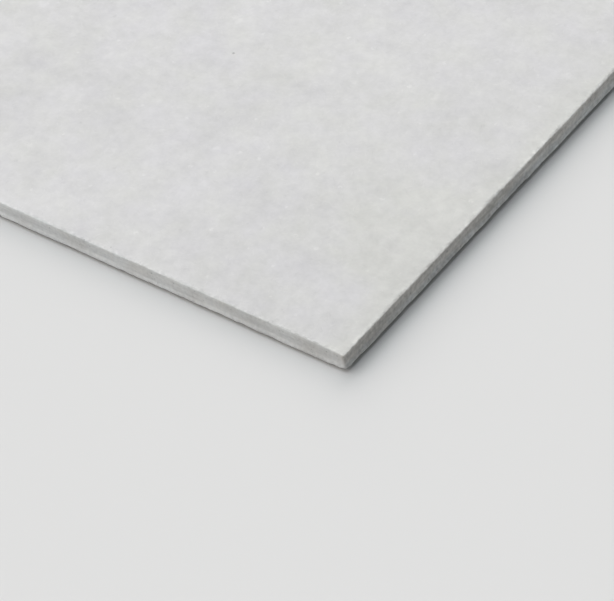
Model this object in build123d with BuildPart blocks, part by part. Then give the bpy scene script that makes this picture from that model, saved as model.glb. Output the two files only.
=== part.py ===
from build123d import *
from math import atan2, degrees
import os

# Fiber cement ceiling board: one flat sheet with the same cut edge on all four sides.
# It lies flat with its show face up. The origin is at the middle of the underside,
# +X runs along the sheet, +Y across it and +Z up out of the show face. Millimetres.

# Sheet, over the lips of its edges
length = 2440.0
width = 1220.0
thickness = 6.0

# Rounding of the sheet's four upright corners, where the plain cut faces meet
corner_radius = 0.7

# Arris between the show face and the cut faces
arris_radius = 0.3

# Lip at the foot of each cut face: the cut leaves the bottom ply standing proud.
# From the underside up it has an upright toe, and above the toe a flare that draws in
# to the plain cut face.
lip_reach = 0.5
toe_height = 0.8
toe_radius = 0.5
shoulder_radius = 0.4
flare_height = 1.2
flare_root_radius = 1.0

# Sizes that follow
lip_corner_radius = corner_radius + lip_reach
lip_height = toe_height + flare_height
cut_face_height = thickness - lip_height
flare_lean = degrees(atan2(lip_reach, flare_height))


def level_edges(part, height):
    """Edges of a part that lie in the level plane at this height."""
    level = part.edges().filter_by(Plane.XY)
    return level.filter_by(lambda edge: abs(edge.center().Z - height) < arris_radius / 10)


with BuildPart() as ceiling_board:
    # Toe of the lip, the widest outline of the sheet
    with BuildSketch(Plane.XY):
        RectangleRounded(length, width, lip_corner_radius)
    extrude(amount=toe_height)

    # Flare of the lip, leaning in from the toe to the line of the plain cut faces
    extrude(ceiling_board.faces().sort_by(Axis.Z)[-1], amount=flare_height, taper=flare_lean)

    # Plain cut faces, up to the show face
    extrude(ceiling_board.faces().sort_by(Axis.Z)[-1], amount=cut_face_height)

    # Hollow root and eased shoulder of the flare, rounded toe and crisp upper arris
    fillet(level_edges(ceiling_board, lip_height), flare_root_radius)
    fillet(level_edges(ceiling_board, toe_height), shoulder_radius)
    fillet(ceiling_board.faces().sort_by(Axis.Z)[0].edges(), toe_radius)
    fillet(ceiling_board.faces().sort_by(Axis.Z)[-1].edges(), arris_radius)

ceiling_board.part.label = "ceiling_board"

os.makedirs("parts", exist_ok=True)
export_step(ceiling_board.part, "parts/ceiling_board.step")
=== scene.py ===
from math import cos, pi, radians, sin

import bmesh
import bpy
from mathutils import Euler, Matrix, Vector, noise


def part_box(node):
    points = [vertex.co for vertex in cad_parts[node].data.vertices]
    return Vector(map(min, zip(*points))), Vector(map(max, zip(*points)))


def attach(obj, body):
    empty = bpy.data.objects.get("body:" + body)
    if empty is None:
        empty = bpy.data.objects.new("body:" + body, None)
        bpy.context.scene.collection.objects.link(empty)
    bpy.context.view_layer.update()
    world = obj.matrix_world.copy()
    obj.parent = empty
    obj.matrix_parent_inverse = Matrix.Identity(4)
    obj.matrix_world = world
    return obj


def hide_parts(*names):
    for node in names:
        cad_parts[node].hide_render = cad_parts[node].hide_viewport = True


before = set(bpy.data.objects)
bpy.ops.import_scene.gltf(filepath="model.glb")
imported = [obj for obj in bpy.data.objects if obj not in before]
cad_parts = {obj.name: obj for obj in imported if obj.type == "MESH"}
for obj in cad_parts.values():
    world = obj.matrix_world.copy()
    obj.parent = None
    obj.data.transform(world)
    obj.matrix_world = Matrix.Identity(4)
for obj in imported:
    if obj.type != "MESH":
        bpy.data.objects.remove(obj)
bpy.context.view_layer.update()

# The board as the frame gives it, in metres
board_low, board_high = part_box("ceiling_board")
length, width, thickness = board_high - board_low
near_corner = Vector((board_high.x, board_low.y, board_low.z))
millimetre = 0.001

# Edge section, repeated from the board's own source
corner_radius = 0.7 * millimetre
arris_radius = 0.3 * millimetre
lip_reach = 0.5 * millimetre
toe_height = 0.8 * millimetre
toe_radius = 0.5 * millimetre
flare_height = 1.2 * millimetre
lip_corner_radius = corner_radius + lip_reach
lip_height = toe_height + flare_height

# Steps that draw each part of the section, and each upright corner
toe_steps = 4
flare_steps = 5
cut_face_steps = 6
arris_steps = 3
corner_steps = 6

# The cut face's first ring stands this share of a step above the lip
first_step_share = 0.3

# The first ring of all stands on the toe, at this height
first_ring_height = 0.9 * toe_height

# A narrow rim lies inside the arris, and faces less than this far below the top are finished as
# the show face is
rim = 0.06 * millimetre
rim_depth = 0.05 * millimetre

# Flat margin kept between the worn edge and the plain faces, and how its corners are rounded
margin = 0.5 * millimetre
margin_corner_radius = 3 * millimetre

# Stations round the edge are close together in the picture and further apart elsewhere, and the
# finest swell of the wear takes three of them
picture_reach = 150 * millimetre
picture_spacing = 0.3 * millimetre
plain_spacing = 3 * millimetre
stations_to_a_swell = 3

# Cells that the flat faces are cut into, and how near a cut lies to a vertex that it runs through
cell = 61 * millimetre
cut_tolerance = 1e-7

# Swells that make up the noise along a frayed edge, as (size, shift of the seed)
long_swells = ((18 * millimetre, 0.0), (7 * millimetre, 0.2))
short_swells = ((2.8 * millimetre, 0.4), (1.1 * millimetre, 0.6))
short_swell_share = 0.7

# How far apart in the noise one seed lies from the next
seed_stride = (7.3, 3.1, 5.7)

# Wear along the edge starts where that noise passes the first number, and is full at the second
lip_wear = (-0.4, 1.1)
foot_wear = (-0.2, 1.2)
arris_wear = (-0.6, 1.2)

# Full depth of each sort of wear
lip_broken_in = 0.2 * millimetre
foot_broken_in = 0.25 * millimetre
foot_broken_up = 0.45 * millimetre
arris_chipped_in = 0.25 * millimetre
arris_chipped_down = 0.18 * millimetre

# How far below the show face the wear of the arris reaches
arris_reach = 2.5 * arris_radius

# How round the corners of the lip have been knocked, how far up the foot is knocked there, how near
# the corner that starts, and how near it is full
knocked_radius = 1.8 * millimetre
foot_knocked_up = 0.2 * millimetre
knock_starts = 5 * millimetre
knock_is_full = 1 * millimetre

# Plies and pits in the cut face: their size, how far plies are drawn out, and half their depth
ply_size = 0.7 * millimetre
ply_stretch = 9
ply_half_depth = 0.035 * millimetre
pit_size = 1.2 * millimetre
pit_half_depth = 0.03 * millimetre

# How far a sheet laid loose stands off the floor along its edges, and how big the floor is
stand_off = 1.2 * millimetre
floor_half_size = 40

# Painted shade darkens the board towards its corners, where the light falls off, and handling has browned
# its cut edges there: both are strongest up to the first distance from its corners, and stop at the
# second
corner_shade_and_handling_most = 10 * millimetre
corner_shade_and_handling_reach = 130 * millimetre

# A faint stain on the show face: how far in it lies from the end and the side, and its radius
stain_from_end = 12 * millimetre
stain_from_side = 60 * millimetre
stain_radius = 42 * millimetre

# Colours: each surface of the board wanders between a cool and a warm one, and the floor is plain
face_cool = (0.663, 0.651, 0.661)
face_warm = (0.665, 0.659, 0.635)
cut_cool = (0.613, 0.618, 0.611)
cut_warm = (0.588, 0.569, 0.540)
back_cool = (0.62, 0.628, 0.625)
back_warm = (0.64, 0.628, 0.61)
floor_colour = (0.740, 0.731, 0.724)

# How dull each surface is, and how weakly all of them mirror
face_roughness = 0.88
cut_roughness = 0.93
back_roughness = 0.93
floor_roughness = 0.9
mirroring = 0.25

# Light: colours of the lamps and of the even fill, and how strong the fill is
warm_light = (1.0, 0.945, 0.91)
cool_light = (0.83, 0.98, 1.06)
fill_light = (0.93, 1.0, 1.04)
fill_strength = 0.197

# Camera: where it stands from the near corner, how it is turned and how long its lens is
picture_width_px = 614
focal_length_px = 3422
camera_azimuth = radians(41.71)
camera_fall = radians(43.903)
camera_roll = radians(-7.98)
camera_sideways = 8.85 * millimetre
camera_back = 742.6 * millimetre
camera_height = 747.2 * millimetre
sensor_width_mm = 36

# Range of the plain noise that a mottle spreads over its own
noise_low = 0.25
noise_high = 0.75

# The smallest speck, as a share of the size asked for
smallest_speck = 0.4

# Material slots of the board
face_slot = 0
edge_slot = 1
back_slot = 2

# Sockets of a colour Mix node, which share their names with others
mix_first = 6
mix_second = 7
mix_result = 2


def rings_below():
    """Rings of the edge from the toe down, as (inset from the lip's outline, height)."""
    rings = []
    for step in range(toe_steps + 1):
        turn = pi / 2 * step / toe_steps
        rings.append((toe_radius * (1 - cos(turn)), toe_radius * (1 - sin(turn))))
    return rings


def rings_above():
    """Rings of the edge from the toe up: the flare, the cut face, the arris and its rim."""
    rings = []
    for step in range(1, flare_steps):
        rise = step / flare_steps
        ease = rise * rise * (3 - 2 * rise)
        rings.append((lip_reach * ease, toe_height + flare_height * rise))
    face_top = thickness - arris_radius
    for step in range(cut_face_steps + 1):
        climb = (face_top - lip_height) * (step + first_step_share) / (cut_face_steps + first_step_share)
        rings.append((lip_reach, lip_height + climb))
    for step in range(1, arris_steps + 1):
        turn = pi / 2 * step / arris_steps
        inset = lip_reach + arris_radius * (1 - cos(turn))
        rings.append((inset, face_top + arris_radius * sin(turn)))
    rings.append((lip_reach + arris_radius + rim, thickness))
    return rings


def rough(place, size, seed):
    """Smooth noise from -1 to 1 whose swells are about this size, in metres."""
    shift = Vector([seed * stride for stride in seed_stride])
    return noise.noise(shift + place / size)


def spacing_at(place):
    """How far apart the stations are at this place on the edge."""
    in_picture = (place - near_corner).xy.length < picture_reach
    return picture_spacing if in_picture else plain_spacing


def along_edge(place, size, seed):
    """Rough noise along the edge, no finer than its stations can follow."""
    finest = stations_to_a_swell * spacing_at(place)
    return rough(place, max(size, finest), seed)


def frayed(place, seed):
    """Noise along the edge from about -1 to 1, with swells of several sizes."""
    long_part = sum(along_edge(place, size, seed + shift) for size, shift in long_swells)
    short_part = sum(along_edge(place, size, seed + shift) for size, shift in short_swells)
    return long_part + short_swell_share * short_part


def share(value, low, high):
    """How far a value has come from low to high, held between 0 and 1."""
    return max(0.0, min(1.0, (value - low) / (high - low)))


def on_outline(point, radius):
    """The nearest point of the rectangle this far inside the outline, and the way out from it."""
    half_x = length / 2 - radius
    half_y = width / 2 - radius
    inner = Vector((max(-half_x, min(half_x, point.x)), max(-half_y, min(half_y, point.y)), 0))
    out = Vector((point.x, point.y, 0)) - inner
    return inner, out.normalized()


def worn(place, inset, height):
    """Inset and height of a point of the edge, as cutting and handling have left it."""
    along = Vector((place.x, place.y, 0))
    # The lip is broken away here and there along the edge
    on_lip = share(height, lip_height, toe_height)
    worn_inset = inset + on_lip * lip_broken_in * share(frayed(along, seed=1), *lip_wear)
    # Its foot is broken out here and there, and knocked up under the corners
    on_foot = 1 - share(height, 0, toe_height)
    broken = share(frayed(along, seed=3), *foot_wear)
    from_corner = Vector((length / 2 - abs(place.x), width / 2 - abs(place.y))).length
    knocked = share(from_corner, knock_starts, knock_is_full)
    worn_inset += on_foot * foot_broken_in * broken
    worn_height = height + on_foot * (foot_broken_up * broken + foot_knocked_up * knocked)
    # The cut face is not quite plane, and its plies and pits show
    on_face = share(height, toe_height, lip_height)
    drawn_out = Vector((along.x / ply_stretch, along.y / ply_stretch, height))
    plies = rough(drawn_out, ply_size, seed=5)
    pits = rough(Vector((along.x, along.y, height)), pit_size, seed=6)
    worn_inset += on_face * (ply_half_depth * (1 + plies) + pit_half_depth * (1 + pits))
    # The arris is worn unevenly and has lost small chips
    on_arris = share(height, thickness - arris_reach, thickness)
    chip = share(frayed(along, seed=7), *arris_wear)
    worn_inset += on_arris * arris_chipped_in * chip
    worn_height -= on_arris * arris_chipped_down * chip
    return worn_inset, worn_height


def place_ring(vertices, inset, height):
    """Sets a ring of vertices at this inset and height, worn as the edge is."""
    on_lip = share(height, lip_height, toe_height)
    radius = lip_corner_radius + (knocked_radius - lip_corner_radius) * on_lip
    for vertex in vertices:
        inner, out = on_outline(vertex.co, radius)
        worn_inset, worn_height = worn(inner + out * radius, inset, height)
        vertex.co = inner + out * (radius - worn_inset)
        vertex.co.z = board_low.z + worn_height


def place_flat_ring(vertices, inset, height):
    """Sets a ring of vertices at this inset on one of the flat faces."""
    for vertex in vertices:
        inner, out = on_outline(vertex.co, margin_corner_radius)
        vertex.co = inner + out * (margin_corner_radius - inset)
        vertex.co.z = board_low.z + height


def draw_ring(bm, ring, set_vertices, inset, height):
    """Draws a ring of edges out to the next ring, and gives that one back."""
    drawn = bmesh.ops.extrude_edge_only(bm, edges=ring)["geom"]
    vertices = {g for g in drawn if isinstance(g, bmesh.types.BMVert)}
    set_vertices(vertices, inset, height)
    for face in drawn:
        if isinstance(face, bmesh.types.BMFace):
            face.material_index = edge_slot
    return [g for g in drawn if isinstance(g, bmesh.types.BMEdge) and set(g.verts) <= vertices]


def close_flat_face(bm, ring, inset, height, slot):
    """Closes a flat face of the board inside this ring, with a level margin round it."""
    ring = draw_ring(bm, ring, place_flat_ring, inset + margin, height)
    ring = draw_ring(bm, ring, place_flat_ring, inset + 2 * margin, height)
    for face in bmesh.ops.edgeloop_fill(bm, edges=ring)["faces"]:
        face.material_index = slot
    cut_into_cells(bm, slot)


def lip_outline(bm):
    """The lip's outline as a ring of edges, rounded at its corners."""
    bmesh.ops.create_grid(bm, x_segments=1, y_segments=1, size=0.5)
    bmesh.ops.scale(bm, vec=(length, width, 1), verts=bm.verts[:])
    bmesh.ops.bevel(
        bm,
        geom=bm.verts[:],
        offset=lip_corner_radius,
        offset_type="OFFSET",
        segments=corner_steps,
        profile=0.5,
        affect="VERTICES",
        material=-1,
    )
    bmesh.ops.delete(bm, geom=bm.faces[:], context="FACES_ONLY")


def cut_into_stations(bm):
    """Cuts the outline's long edges into stations."""
    # The two edges that meet at the near corner are first cut where the close stations end
    for edge in [e for e in bm.edges if e.calc_length() > picture_reach]:
        ends = [(vertex.co - near_corner).length for vertex in edge.verts]
        if min(ends) > width / 2:
            continue
        part_way = picture_reach / edge.calc_length()
        if ends[1] < ends[0]:
            part_way = 1 - part_way
        bmesh.ops.bisect_edges(bm, edges=[edge], cuts=1, edge_percents={edge: part_way})
    for edge in [e for e in bm.edges if e.calc_length() > plain_spacing]:
        middle = (edge.verts[0].co + edge.verts[1].co) / 2
        cuts = round(edge.calc_length() / spacing_at(middle)) - 1
        bmesh.ops.bisect_edges(bm, edges=[edge], cuts=cuts, edge_percents={})


def cut_into_cells(bm, slot):
    """Cuts the flat face with this material slot into cells."""
    for axis, reach in ((Vector((1, 0, 0)), length / 2), (Vector((0, 1, 0)), width / 2)):
        cuts = int(reach / cell)
        for step in range(-cuts, cuts + 1):
            flat = [f for f in bm.faces if f.material_index == slot]
            parts = {g for f in flat for g in (*f.verts, *f.edges, f)}
            bmesh.ops.bisect_plane(
                bm,
                geom=list(parts),
                dist=cut_tolerance,
                plane_co=axis * step * cell,
                plane_no=axis,
            )


def make_board():
    """The board: stations round its toe, drawn down to the underside and up to the show face."""
    bm = bmesh.new()
    lip_outline(bm)
    cut_into_stations(bm)
    first_ring = bm.edges[:]
    place_ring(bm.verts, 0.0, first_ring_height)
    ring = first_ring
    for inset, height in rings_below():
        ring = draw_ring(bm, ring, place_ring, inset, height)
    close_flat_face(bm, ring, toe_radius, 0.0, back_slot)
    ring = first_ring
    for inset, height in rings_above():
        ring = draw_ring(bm, ring, place_ring, inset, height)
    close_flat_face(bm, ring, lip_reach + arris_radius, thickness, face_slot)
    bmesh.ops.recalc_face_normals(bm, faces=bm.faces[:])
    for face in bm.faces:
        on_edge = face.material_index == edge_slot
        face.smooth = on_edge
        if on_edge and face.calc_center_median().z > board_high.z - rim_depth:
            face.material_index = face_slot
    mesh = bpy.data.meshes.new("ceiling_board_dressed")
    bm.to_mesh(mesh)
    bm.free()
    board = bpy.data.objects.new("ceiling_board_dressed", mesh)
    bpy.context.scene.collection.objects.link(board)
    return board


def make_floor(material):
    """A plain level floor under the board."""
    bm = bmesh.new()
    bmesh.ops.create_grid(bm, x_segments=1, y_segments=1, size=floor_half_size)
    bmesh.ops.translate(bm, vec=(0, 0, board_low.z - stand_off), verts=bm.verts[:])
    mesh = bpy.data.meshes.new("floor")
    bm.to_mesh(mesh)
    bm.free()
    mesh.materials.append(material)
    floor = bpy.data.objects.new("floor", mesh)
    bpy.context.scene.collection.objects.link(floor)


class Finish:
    """A material built up from nodes, laid out by the board's own coordinates."""

    def __init__(self, name, roughness):
        self.material = bpy.data.materials.new(name)
        self.material.use_nodes = True
        self.tree = self.material.node_tree
        self.shader = self.tree.nodes["Principled BSDF"]
        self.shader.inputs["Specular IOR Level"].default_value = mirroring
        self.shader.inputs["Roughness"].default_value = roughness
        self.place = self.add("TexCoord", {}).outputs["Object"]
        self.x, self.y, self.z = self.add("SeparateXYZ", {"Vector": self.place}).outputs

    def add(self, kind, inputs, **settings):
        """A node of this kind. Each input is a socket to wire from, or a value to set."""
        node = self.tree.nodes.new("ShaderNode" + kind)
        for name, value in settings.items():
            setattr(node, name, value)
        for name, value in inputs.items():
            if isinstance(value, bpy.types.NodeSocket):
                self.tree.links.new(value, node.inputs[name])
            else:
                node.inputs[name].default_value = value
        return node

    def work_out(self, operation, *values):
        """The result of a math node on sockets or numbers."""
        return self.add("Math", dict(enumerate(values)), operation=operation).outputs[0]

    def total(self, result, *others):
        """The sum of several sockets or numbers."""
        for other in others:
            result = self.work_out("ADD", result, other)
        return result

    def product(self, result, *others):
        """The product of several sockets or numbers."""
        for other in others:
            result = self.work_out("MULTIPLY", result, other)
        return result

    def ease(self, value, low, high, start=0.0, end=1.0):
        """Goes smoothly from start to end while the value goes from low to high."""
        inputs = {"Value": value, "From Min": low, "From Max": high, "To Min": start, "To Max": end}
        return self.add("MapRange", inputs, interpolation_type="SMOOTHSTEP").outputs["Result"]

    def fade(self, value, low, high):
        """Goes smoothly from 1 to 0 while the value goes from low to high."""
        return self.ease(value, low, high, 1, 0)

    def from_edges(self):
        """How far each point is from the board's nearest end, nearest side and nearest corner."""
        from_end = self.work_out("SUBTRACT", length / 2, self.work_out("ABSOLUTE", self.x))
        from_side = self.work_out("SUBTRACT", width / 2, self.work_out("ABSOLUTE", self.y))
        both = self.add("CombineXYZ", {"X": from_end, "Y": from_side}).outputs["Vector"]
        from_corner = self.add("VectorMath", {0: both}, operation="LENGTH").outputs["Value"]
        return from_end, from_side, from_corner

    def near_spot(self, spot, radius):
        """How near each point is to a spot: from 1 close by to 0 this far away."""
        apart = self.add("VectorMath", {0: self.place, 1: tuple(spot)}, operation="DISTANCE")
        return self.fade(apart.outputs["Value"], 0.3 * radius, radius)

    def stretched(self, stretch=(1, 1, 1), shift=(0, 0, 0)):
        """The board's coordinates, drawn out by these factors."""
        mapping = {"Vector": self.place, "Scale": tuple(1 / s for s in stretch), "Location": shift}
        return self.add("Mapping", mapping).outputs["Vector"]

    def mottle(self, size, amount, detail=2.0, seed=0.0, stretch=(1, 1, 1)):
        """Noise with swells of about this size, going this far each side of nought."""
        place = self.stretched(stretch, (seed, -seed, seed))
        swells = self.add("TexNoise", {"Vector": place, "Scale": 1 / size, "Detail": detail})
        return self.add(
            "MapRange",
            {
                "Value": swells.outputs["Fac"],
                "From Min": noise_low,
                "From Max": noise_high,
                "To Min": -amount,
                "To Max": amount,
            },
            clamp=False,
        ).outputs["Result"]

    def cells(self, place, spacing, dimensions):
        """Random cells of this spacing, and three numbers from 0 to 1 drawn for each."""
        scale = 1 / spacing
        cells = self.add("TexVoronoi", {"Vector": place, "Scale": scale}, voronoi_dimensions=dimensions)
        chances = self.add("SeparateColor", {"Color": cells.outputs["Color"]}).outputs
        return cells.outputs, chances

    def fibres(self, spacing, fibre_length, breadth, shown, seed):
        """Short straight fibres lying every way, one to a cell in the share of cells that is shown."""
        flat = self.stretched(shift=(seed, seed, 0))
        cells, chances = self.cells(flat, spacing, "2D")
        local = self.add("VectorMath", {0: flat, 1: cells["Position"]}, operation="SUBTRACT").outputs[0]
        turning = {"Vector": local, "Angle": self.product(chances[0], 2 * pi)}
        turned = self.add("VectorRotate", turning, rotation_type="Z_AXIS").outputs[0]
        lengthwise, across, _ = self.add("SeparateXYZ", {"Vector": turned}).outputs
        # Each fibre is whole round its middle and fades out by half its length and half its breadth
        from_middle = self.work_out("ABSOLUTE", lengthwise)
        from_line = self.work_out("ABSOLUTE", across)
        within = self.fade(from_middle, 0.3 * fibre_length, 0.5 * fibre_length)
        narrow = self.fade(from_line, 0.2 * breadth, 0.5 * breadth)
        present = self.work_out("LESS_THAN", chances[1], shown)
        return self.product(within, narrow, present)

    def specks(self, spacing, size, shown, seed, dimensions="3D"):
        """Round specks, one to a cell in the share that is shown: "2D" on a level face, "3D" anywhere."""
        shifted = self.stretched(shift=(seed, seed, seed))
        cells, chances = self.cells(shifted, spacing, dimensions)
        edge = self.product(self.total(chances[2], smallest_speck), size / spacing)
        inside = self.work_out("SUBTRACT", 1, self.work_out("DIVIDE", cells["Distance"], edge))
        present = self.work_out("LESS_THAN", chances[1], shown)
        return self.product(self.ease(inside, 0, 0.5), present)

    def flecks(self, spacing, size, shown, seed):
        """Specks of a level face, with broken outlines."""
        broken = self.ease(self.mottle(size, 1, detail=3, seed=seed + 0.5), -0.5, 0.2)
        return self.product(self.specks(spacing, size, shown, seed, "2D"), broken)

    def colour(self, cool, warm, hue, tone):
        """Colours the shader between cool and warm by the hue, and scales it by the tone."""
        inputs = {"Factor": hue, mix_first: (*cool, 1), mix_second: (*warm, 1)}
        blend = self.add("Mix", inputs, data_type="RGBA").outputs[mix_result]
        scaled = self.add("VectorMath", {0: blend, "Scale": tone}, operation="SCALE").outputs[0]
        self.tree.links.new(scaled, self.shader.inputs["Base Color"])

    def roughen(self, roughness):
        """Wires the shader's roughness."""
        self.tree.links.new(roughness, self.shader.inputs["Roughness"])

    def relief(self, height):
        """Raises the surface by this height, in metres, as bump."""
        bump = self.add("Bump", {"Height": height, "Distance": 1.0, "Strength": 1.0})
        self.tree.links.new(bump.outputs["Normal"], self.shader.inputs["Normal"])


def show_face_finish():
    """The smooth grey face: faint clouds, fine grain, pressed-in fibres and a few specks."""
    finish = Finish("fiber_cement_show_face", face_roughness)
    clouds = finish.mottle(260 * millimetre, 0.03, detail=3, seed=1.0, stretch=(1.6, 1, 1))
    drifts = finish.mottle(45 * millimetre, 0.028, seed=2.0)
    patches = finish.mottle(12 * millimetre, 0.044, detail=3, seed=3.0)
    flakes = finish.mottle(3.2 * millimetre, 0.044, seed=3.5)
    grain = finish.mottle(1.1 * millimetre, 0.020, seed=4.0)
    pale_fibres = finish.fibres(
        spacing=2.6 * millimetre,
        fibre_length=2.2 * millimetre,
        breadth=0.28 * millimetre,
        shown=0.45,
        seed=5.0,
    )
    dark_fibres = finish.fibres(
        spacing=3.4 * millimetre,
        fibre_length=2.4 * millimetre,
        breadth=0.25 * millimetre,
        shown=0.4,
        seed=6.0,
    )
    dark_specks = finish.specks(45 * millimetre, 0.45 * millimetre, shown=0.2, seed=7.0, dimensions="2D")
    pale_flecks = finish.flecks(13 * millimetre, 0.9 * millimetre, shown=0.5, seed=8.0)
    dark_flecks = finish.flecks(15 * millimetre, 0.8 * millimetre, shown=0.4, seed=8.8)
    pale_wisps = finish.flecks(26 * millimetre, 2.4 * millimetre, shown=0.6, seed=8.2)
    # Beside the arris the face carries a painted highlight, painted glints, and painted light and shade
    # of small chips. It is browner and a little darker along the ends, and painted shade darkens it
    # towards the ends and the corners, where the light falls off
    from_end, from_side, from_corner = finish.from_edges()
    from_edge = finish.work_out("MINIMUM", from_end, from_side)
    corner_shade_and_handling = finish.fade(from_corner, corner_shade_and_handling_most, corner_shade_and_handling_reach)
    painted_arris_light = finish.fade(from_edge, 0.6 * millimetre, 7 * millimetre)
    on_arris = finish.fade(from_edge, 1.2 * millimetre, 2.8 * millimetre)
    in_painted_arris_glints = finish.ease(finish.mottle(1.8 * millimetre, 1, seed=8.5), 0.1, 0.6)
    painted_arris_glints = finish.product(on_arris, in_painted_arris_glints)
    painted_chip_light_and_shade = finish.product(on_arris, finish.mottle(1.5 * millimetre, 0.13, seed=8.6))
    beside_end = finish.fade(from_end, 1 * millimetre, 14 * millimetre)
    painted_shade_towards_end = finish.fade(from_end, 10 * millimetre, 110 * millimetre)
    # The base tone, and how much lighter or darker each of the rest makes the face
    tone = finish.total(
        1.026,
        clouds,
        drifts,
        patches,
        flakes,
        grain,
        finish.product(pale_fibres, 0.05),
        finish.product(dark_fibres, -0.05),
        finish.product(dark_specks, -0.3),
        finish.product(pale_flecks, 0.09),
        finish.product(dark_flecks, -0.06),
        finish.product(pale_wisps, 0.05),
        finish.product(painted_arris_light, 0.018),
        finish.product(painted_arris_glints, 0.08),
        painted_chip_light_and_shade,
        finish.product(beside_end, -0.035),
        finish.product(painted_shade_towards_end, -0.024),
        finish.product(corner_shade_and_handling, -0.030),
    )
    # The base hue, and how much warmer or cooler each of the rest makes the face
    browner = finish.product(beside_end, finish.total(0.6, finish.product(on_arris, 0.5)))
    stain_middle = near_corner + Vector((-stain_from_end, stain_from_side, 0))
    stained = finish.near_spot(stain_middle, stain_radius)
    hue = finish.total(
        0.38,
        finish.mottle(60 * millimetre, 0.2, seed=9.0),
        finish.mottle(12 * millimetre, 0.35, seed=9.5),
        finish.product(stained, 0.6),
        browner,
    )
    finish.colour(face_cool, face_warm, hue, tone)
    finish.roughen(finish.total(face_roughness, finish.mottle(6 * millimetre, 0.05, seed=10.0)))
    finish.relief(
        finish.total(
            finish.mottle(7 * millimetre, 0.010 * millimetre, seed=11.0),
            finish.mottle(0.9 * millimetre, 0.006 * millimetre, seed=12.0),
            finish.product(pale_fibres, 0.012 * millimetre),
            finish.product(dark_fibres, -0.012 * millimetre),
            finish.product(dark_specks, -0.1 * millimetre),
        )
    )
    return finish.material


def cut_edge_finish():
    """The cut edges: plies drawn out along the edge, pits, a painted highlight on the lip, and rougher,
    browner ends.
    """
    finish = Finish("fiber_cement_cut_edge", cut_roughness)
    plies = finish.mottle(0.45 * millimetre, 0.05, seed=1.0, stretch=(40, 40, 1))
    broad_plies = finish.mottle(1.6 * millimetre, 0.08, detail=1, seed=2.0, stretch=(12, 12, 1))
    patches = finish.mottle(12 * millimetre, 0.065, detail=3, seed=3.0)
    saw_marks = finish.mottle(1.4 * millimetre, 0.03, seed=4.0, stretch=(1, 1, 6))
    grain = finish.mottle(1.3 * millimetre, 0.10, detail=3, seed=5.0)
    # Pits are painted darker, as the shade inside them, and are also sunk by the bump
    pits = finish.specks(1.6 * millimetre, 0.3 * millimetre, shown=0.35, seed=6.0)
    # A painted highlight makes the lip paler, up to a line that wanders
    wandering = finish.total(finish.z, finish.mottle(4 * millimetre, 0.6 * millimetre, seed=5.2))
    above_lip = finish.ease(wandering, 1.5 * millimetre, 2.3 * millimetre)
    painted_lip_highlight = finish.total(0.05, finish.mottle(8 * millimetre, 0.06, seed=5.5))
    lip = finish.product(finish.work_out("SUBTRACT", 1, above_lip), painted_lip_highlight)
    # The ends are more roughly cut than the sides, and lighter under the arris, partly bruised and partly
    # a painted highlight.
    # Painted shade darkens the ends above the lip, and ends and sides towards the corners, more on the
    # ends, where the light falls off; handling has browned both there
    from_end, _, from_corner = finish.from_edges()
    on_end = finish.fade(from_end, 0.7 * millimetre, 2 * millimetre)
    corner_shade_and_handling = finish.fade(from_corner, corner_shade_and_handling_most, corner_shade_and_handling_reach)
    painted_corner_shade = finish.product(corner_shade_and_handling, finish.total(-0.05, finish.product(on_end, -0.08)))
    painted_shade_above_lip = finish.product(on_end, above_lip, -0.025)
    under_arris = finish.ease(finish.z, thickness - 0.8 * millimetre, thickness - 0.2 * millimetre)
    bruise_and_arris_light_amount = finish.total(0.16, finish.mottle(2.0 * millimetre, 0.22, seed=5.8))
    bruises_and_arris_light = finish.product(on_end, under_arris, bruise_and_arris_light_amount)
    texture = finish.total(plies, broad_plies, patches, saw_marks, grain)
    roughly_cut = finish.total(1, finish.product(on_end, 0.8))
    # The base tone, and how much lighter or darker each of the rest makes the edge
    tone = finish.total(
        1.05,
        painted_corner_shade,
        finish.product(texture, roughly_cut),
        lip,
        bruises_and_arris_light,
        painted_shade_above_lip,
        finish.product(pits, -0.25),
    )
    # The base hue, and how much warmer or cooler each of the rest makes the edge
    browner_upwards = finish.ease(finish.z, 1.5 * millimetre, 4.5 * millimetre, start=0.2, end=1.0)
    hue = finish.total(
        0.05,
        finish.product(on_end, browner_upwards),
        finish.product(corner_shade_and_handling, 0.4),
        finish.mottle(8 * millimetre, 0.35, seed=7.0),
        finish.product(on_end, finish.mottle(4 * millimetre, 0.4, seed=7.5)),
    )
    finish.colour(cut_cool, cut_warm, hue, tone)
    finish.roughen(finish.total(cut_roughness, finish.mottle(3 * millimetre, 0.04, seed=8.0)))
    finish.relief(
        finish.total(
            finish.mottle(0.45 * millimetre, 0.03 * millimetre, seed=1.0, stretch=(60, 60, 1)),
            finish.mottle(0.5 * millimetre, 0.02 * millimetre, detail=3, seed=5.0),
            finish.product(pits, -0.12 * millimetre),
        )
    )
    return finish.material


def back_finish():
    """The underside: the same grey, with the coarser print of the felt it was laid on."""
    finish = Finish("fiber_cement_back", back_roughness)
    clouds = finish.mottle(200 * millimetre, 0.03, detail=3, seed=1.0, stretch=(1.6, 1, 1))
    patches = finish.mottle(15 * millimetre, 0.02, detail=3, seed=2.0)
    thread = 1.1 * millimetre
    lengthwise = {"detail": 1, "seed": 3.0, "stretch": (4, 1, 1)}
    across = {"detail": 1, "seed": 4.0, "stretch": (1, 4, 1)}
    tone = finish.total(
        1.0,
        clouds,
        patches,
        finish.mottle(thread, 0.02, **lengthwise),
        finish.mottle(thread, 0.02, **across),
    )
    hue = finish.total(0.5, finish.mottle(90 * millimetre, 0.5, seed=5.0))
    finish.colour(back_cool, back_warm, hue, tone)
    finish.roughen(finish.total(back_roughness, finish.mottle(5 * millimetre, 0.04, seed=6.0)))
    finish.relief(
        finish.total(
            finish.mottle(thread, 0.03 * millimetre, **lengthwise),
            finish.mottle(thread, 0.03 * millimetre, **across),
        )
    )
    return finish.material


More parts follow.
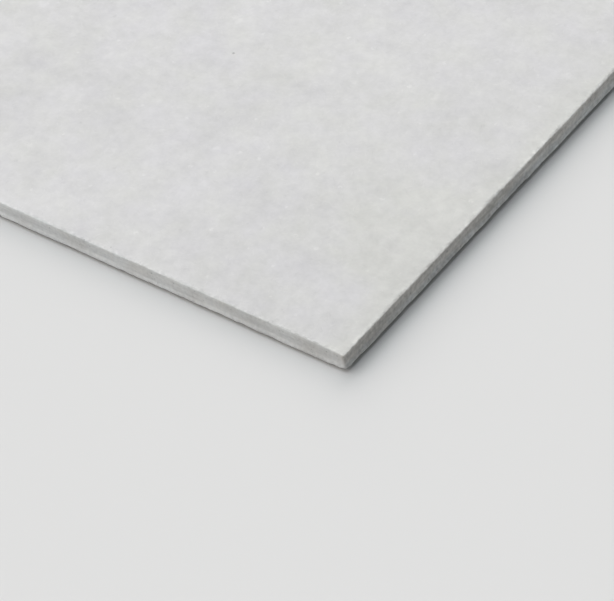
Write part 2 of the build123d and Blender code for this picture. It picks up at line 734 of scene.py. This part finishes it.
def floor_finish():
    """The plain pale floor."""
    finish = Finish("pale_floor", floor_roughness)
    finish.shader.inputs["Base Color"].default_value = (*floor_colour, 1)
    return finish.material


def make_camera():
    """The camera at the photograph's place and angle."""
    right = Vector((cos(camera_azimuth), sin(camera_azimuth), 0))
    ahead = Vector((-sin(camera_azimuth), cos(camera_azimuth), 0))
    data = bpy.data.cameras.new("camera")
    data.sensor_width = sensor_width_mm
    data.lens = focal_length_px / picture_width_px * sensor_width_mm
    camera = bpy.data.objects.new("camera", data)
    aimed = Euler((pi / 2 - camera_fall, 0, camera_azimuth)).to_matrix()
    rolled = aimed @ Matrix.Rotation(camera_roll, 3, "Z")
    camera.rotation_euler = rolled.to_euler()
    camera.location = near_corner - right * camera_sideways - ahead * camera_back
    camera.location.z += camera_height
    bpy.context.scene.collection.objects.link(camera)
    bpy.context.scene.camera = camera


def soft_lamp(name, toward, breadth, energy, colour):
    """A broad soft lamp a long way off in this direction."""
    data = bpy.data.lights.new(name, "SUN")
    data.energy = energy
    data.angle = breadth
    data.color = colour
    lamp = bpy.data.objects.new(name, data)
    lamp.rotation_euler = Vector(toward).to_track_quat("Z", "Y").to_euler()
    lamp.location = toward
    bpy.context.scene.collection.objects.link(lamp)


def make_lights():
    """Two broad soft lamps from the left, a weak cool one overhead, and an even fill all round."""
    soft_lamp(
        "left_back_lamp",
        toward=(-0.61, 0.62, 0.49),
        breadth=radians(53),
        energy=1.66,
        colour=warm_light,
    )
    soft_lamp(
        "left_front_lamp",
        toward=(-0.556, -0.398, 0.729),
        breadth=radians(80),
        energy=1.59,
        colour=warm_light,
    )
    soft_lamp(
        "overhead_lamp",
        toward=(-0.30, 0.0, 0.95),
        breadth=radians(50),
        energy=0.75,
        colour=cool_light,
    )
    world = bpy.data.worlds.new("studio")
    world.use_nodes = True
    background = world.node_tree.nodes["Background"]
    background.inputs["Color"].default_value = (*fill_light, 1)
    background.inputs["Strength"].default_value = fill_strength
    bpy.context.scene.world = world


board = make_board()
board.data.materials.append(show_face_finish())
board.data.materials.append(cut_edge_finish())
board.data.materials.append(back_finish())
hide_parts("ceiling_board")
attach(board, "root")
make_floor(floor_finish())
make_camera()
make_lights()
bpy.context.scene.view_settings.view_transform = "Standard"
